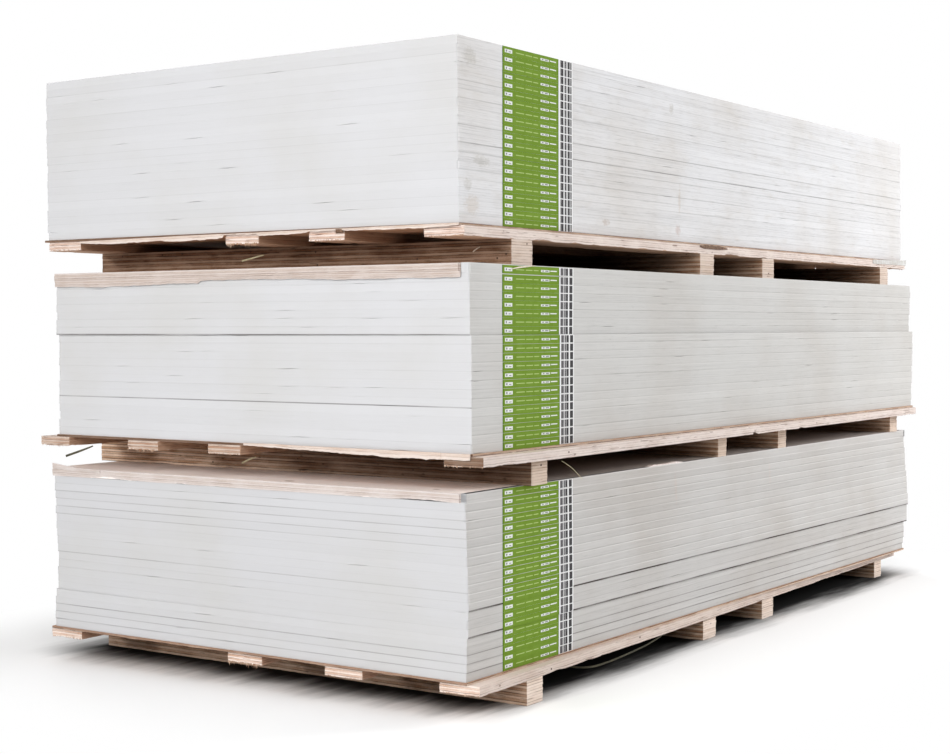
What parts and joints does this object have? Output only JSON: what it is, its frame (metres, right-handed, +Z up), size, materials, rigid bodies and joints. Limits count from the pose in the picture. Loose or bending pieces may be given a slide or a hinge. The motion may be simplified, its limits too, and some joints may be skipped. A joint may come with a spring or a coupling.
{
  "type": "stack of palletised building boards",
  "caption": "Long flat packs of white building boards on low plywood pallets, stacked on one another, with cover sheets between the packs and fork pockets under each.",
  "frame": {"origin": "floor level, under the middle of the stack's bounding box", "axes": "+X along the boards, away from the end that the picture shows; +Y across them, away from the long side that it shows; +Z up"},
  "size_m": [2.5172, 1.3384, 1.3822],
  "materials": {
    "white_board": "smooth matt mineral board",
    "base_plywood": "thin raw plywood with ragged edges",
    "cover_plywood": "raw softwood plywood",
    "strip_plywood": "raw softwood plywood, sawn edges",
    "stringer_plywood": "laminated raw plywood, plies showing"
  },
  "bodies": {
    "root": {"stringer_lower_1": "stringer_plywood", "stringer_lower_2": "stringer_plywood", "stringer_lower_3": "stringer_plywood", "stringer_lower_4": "stringer_plywood", "deck_strip_lower_1": "strip_plywood", "deck_strip_lower_2": "strip_plywood", "deck_strip_lower_3": "strip_plywood", "deck_strip_lower_4": "strip_plywood", "base_sheet_lower": "base_plywood", "boards_lower": "white_board", "cover_sheet_lower": "cover_plywood", "edge_strip_lower": "white_board", "stringer_middle_1": "stringer_plywood", "stringer_middle_2": "stringer_plywood", "stringer_middle_3": "stringer_plywood", "stringer_middle_4": "stringer_plywood", "deck_strip_middle_1": "strip_plywood", "deck_strip_middle_2": "strip_plywood", "deck_strip_middle_3": "strip_plywood", "deck_strip_middle_4": "strip_plywood", "base_sheet_middle": "base_plywood", "boards_middle": "white_board", "cover_sheet_middle": "cover_plywood", "edge_strip_middle": "white_board", "stringer_upper_1": "stringer_plywood", "stringer_upper_2": "stringer_plywood", "stringer_upper_3": "stringer_plywood", "stringer_upper_4": "stringer_plywood", "deck_strip_upper_1": "strip_plywood", "deck_strip_upper_2": "strip_plywood", "deck_strip_upper_3": "strip_plywood", "deck_strip_upper_4": "strip_plywood", "base_sheet_upper": "base_plywood", "boards_upper": "white_board"}
  },
  "joints": []
}
